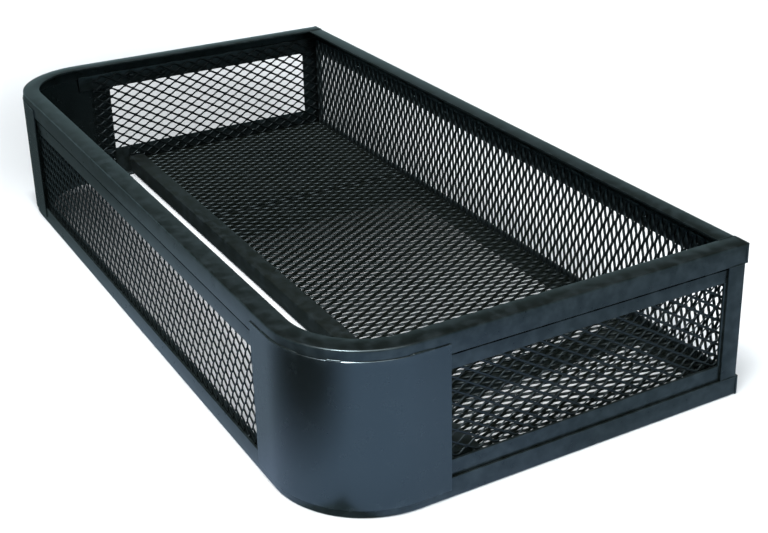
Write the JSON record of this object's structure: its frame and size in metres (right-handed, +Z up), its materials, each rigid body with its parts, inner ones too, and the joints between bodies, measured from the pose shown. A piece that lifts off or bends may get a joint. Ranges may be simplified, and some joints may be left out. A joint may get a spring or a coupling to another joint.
{
  "type": "roof cargo basket",
  "caption": "Open-topped welded steel cargo basket with expanded-metal walls and floor, two rounded front corners and two square rear corners.",
  "frame": {"origin": "on the ground under the middle of the basket's outline", "axes": "+X along the basket's length towards its right-hand end, +Y from the front wall with the rounded corners to the rear wall, +Z up"},
  "size_m": [1.135, 0.57, 0.2032],
  "materials": {
    "frame_paint": "semi-gloss black paint over rolled angle iron",
    "sheet_paint": "semi-gloss black paint over rolled sheet",
    "strip_paint": "semi-gloss black paint over flat bar",
    "wall_mesh_paint": "black paint over raised expanded metal",
    "floor_mesh_paint": "black paint over raised expanded metal",
    "floor_paint": "satin black paint over angle and flat bar"
  },
  "bodies": {
    "root": {"top_rim": "frame_paint", "bottom_rim": "frame_paint", "top_rail_rear": "frame_paint", "bottom_rail_rear": "frame_paint", "corner_sheet_right": "sheet_paint", "corner_sheet_left": "sheet_paint", "corner_post_right": "frame_paint", "corner_post_left": "frame_paint", "front_strip_top": "strip_paint", "rear_strip_top": "strip_paint", "side_strip_top_right": "strip_paint", "side_strip_bottom_right": "strip_paint", "side_strip_rear_right": "strip_paint", "side_strip_top_left": "strip_paint", "side_strip_bottom_left": "strip_paint", "side_strip_rear_left": "strip_paint", "front_mesh": "wall_mesh_paint", "rear_mesh": "wall_mesh_paint", "side_mesh_right": "wall_mesh_paint", "side_mesh_left": "wall_mesh_paint", "floor_rail_front": "floor_paint", "floor_cross_channel": "floor_paint", "floor_cross_angle_right": "floor_paint", "floor_cross_angle_left": "floor_paint", "floor_mesh_right": "floor_mesh_paint", "floor_mesh_left": "floor_mesh_paint", "floor_rail_clip_right": "floor_paint", "floor_rail_clip_left": "floor_paint"}
  },
  "joints": []
}
